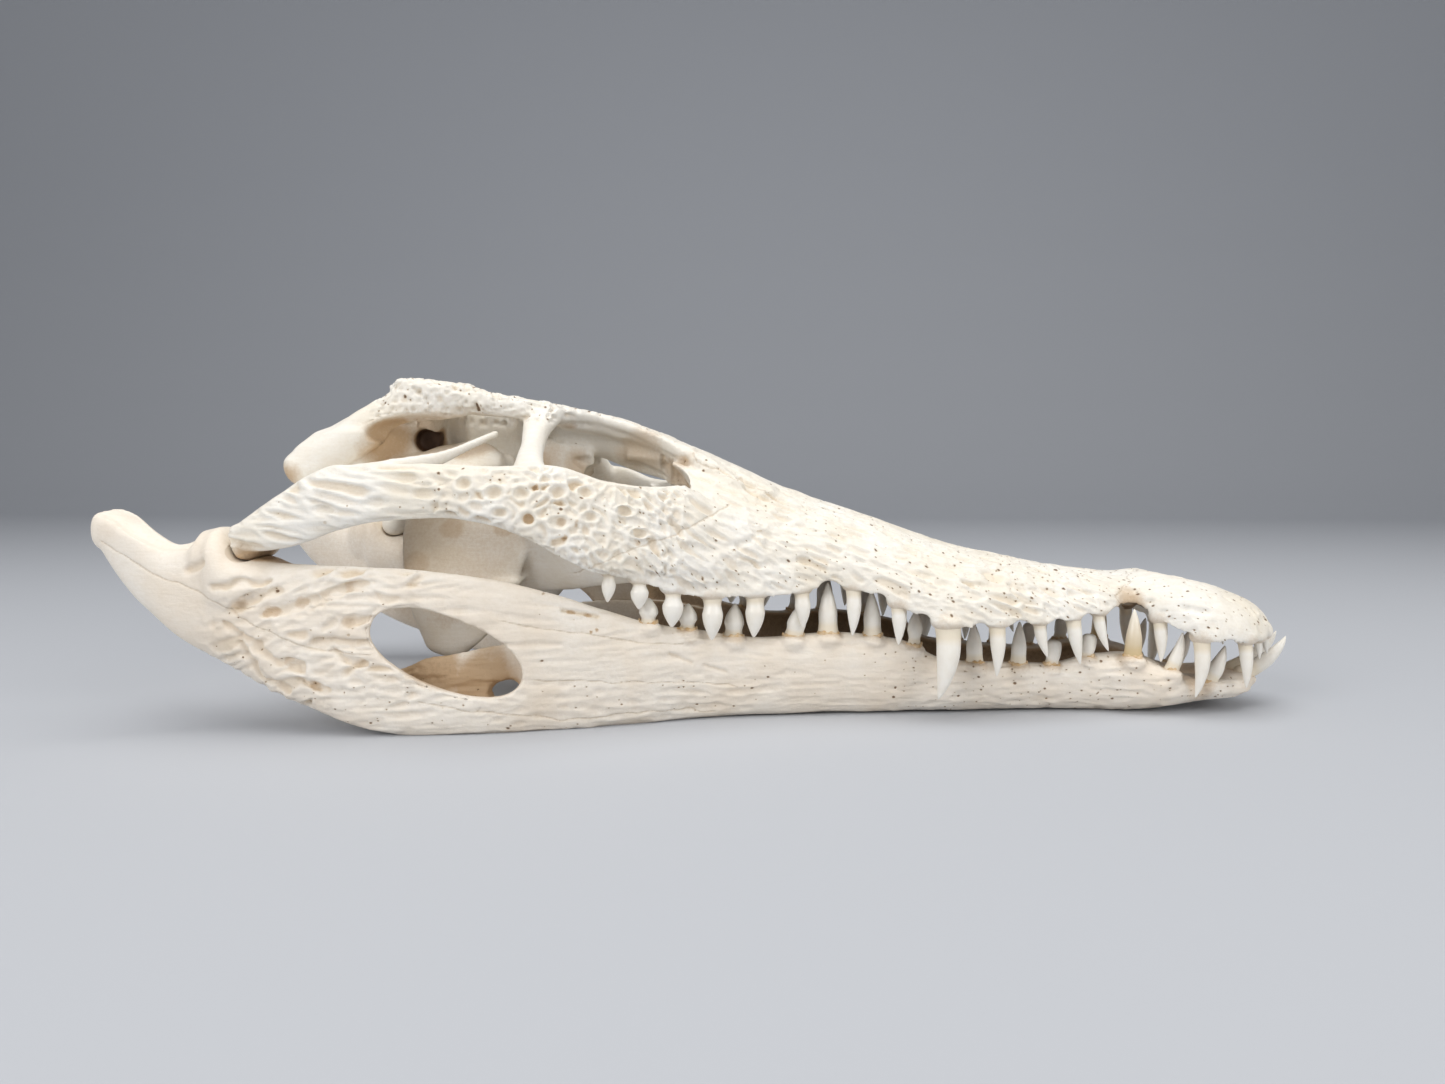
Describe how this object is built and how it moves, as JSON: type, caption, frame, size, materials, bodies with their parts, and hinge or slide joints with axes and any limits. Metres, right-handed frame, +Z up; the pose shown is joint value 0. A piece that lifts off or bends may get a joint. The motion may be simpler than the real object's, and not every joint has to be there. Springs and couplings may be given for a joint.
{
  "type": "crocodile skull",
  "caption": "Cream-white crocodile skull with closed toothed jaws, long pitted snout and open cheek arches, resting on its lower jaw.",
  "frame": {"origin": "middle of the skull's footprint on the surface it rests on", "axes": "+X towards the tip of the snout, +Y to the animal's left, +Z up"},
  "size_m": [0.4004, 0.1512, 0.1151],
  "materials": {
    "bone": "matte"
  },
  "bodies": {
    "root": {"cranium": "bone", "mandible_left": "bone", "mandible_right": "bone"}
  },
  "joints": []
}
